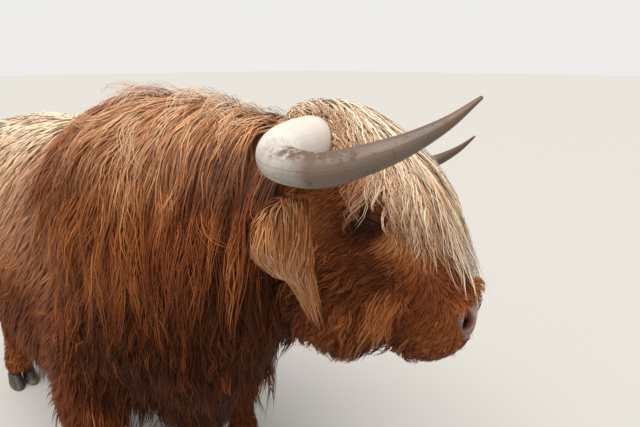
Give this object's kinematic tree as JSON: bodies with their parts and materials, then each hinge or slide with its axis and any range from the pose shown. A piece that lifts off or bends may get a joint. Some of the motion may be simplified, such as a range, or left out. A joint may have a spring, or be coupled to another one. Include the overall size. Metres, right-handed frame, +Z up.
{
  "type": "highland cow",
  "caption": "Still, life-size figure of a long-haired, long-horned highland bull standing square, head turned to its left.",
  "frame": {"origin": "on the floor, under the middle of the whole figure's box", "axes": "+X the way the body faces, +Y the animal's left, +Z up; the claws stand on Z = 0"},
  "size_m": [2.3054, 0.9742, 1.3528],
  "materials": {
    "coat": "soft red-brown coat of medium length, paler along the back",
    "long_hair": "long glossy locks, orange-brown with blond tips",
    "horn": "ivory at the base, grey-brown and stained along, dark at the tip, satin",
    "hoof": "dark grey horn with fine growth rings",
    "eye": "wet dark brown, high gloss",
    "nose": "bare moist skin, grey-pink mottled"
  },
  "bodies": {
    "root": {"trunk": "coat", "neck": "long_hair", "fore_leg_left": "coat", "hind_leg_left": "coat", "fore_leg_right": "coat", "hind_leg_right": "coat", "eye_left": "eye", "eye_right": "eye", "head": "long_hair", "muzzle": "nose", "horn_left": "horn", "horn_right": "horn", "ear_left": "long_hair", "ear_right": "long_hair", "tail": "coat", "tail_switch": "long_hair", "fore_claw_left_outer": "hoof", "fore_claw_left_inner": "hoof", "hind_claw_left_outer": "hoof", "hind_claw_left_inner": "hoof", "fore_claw_right_outer": "hoof", "fore_claw_right_inner": "hoof", "hind_claw_right_outer": "hoof", "hind_claw_right_inner": "hoof"}
  },
  "joints": []
}
